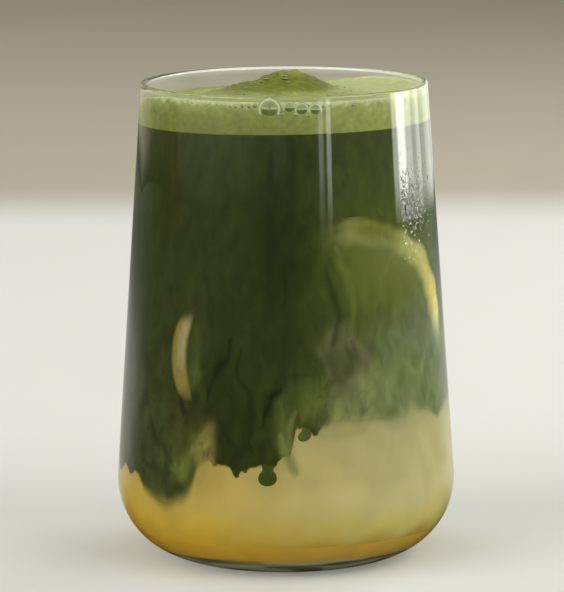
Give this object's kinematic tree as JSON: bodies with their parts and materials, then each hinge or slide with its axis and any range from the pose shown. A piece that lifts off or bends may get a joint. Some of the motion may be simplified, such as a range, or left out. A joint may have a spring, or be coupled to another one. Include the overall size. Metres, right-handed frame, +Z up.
{
  "type": "matcha lemonade in a glass",
  "caption": "Stemless tumbler with a round heel and a taper to the rim, filled with green matcha that sinks in tongues into cloudy lemonade, under a foam cap.",
  "frame": {"origin": "centre of the circle that the glass stands on", "axes": "+Z up along the glass's axis; the front of the drink, where its tongues and drips show, faces -Y"},
  "size_m": [0.084, 0.084, 0.1204],
  "materials": {
    "clear_glass": "clear, thin, polished, with a fire-rounded rim",
    "green_foam": "fine wet foam with small bubbles, olive green",
    "green_tea": "opaque dark green liquid with paler olive veils",
    "cloudy_lemonade": "cloudy pale yellow liquid",
    "amber_syrup": "clear amber syrup, settled"
  },
  "bodies": {
    "root": {"glass": "clear_glass", "foam": "green_foam", "matcha": "green_tea", "lemonade": "cloudy_lemonade", "syrup": "amber_syrup"}
  },
  "joints": []
}
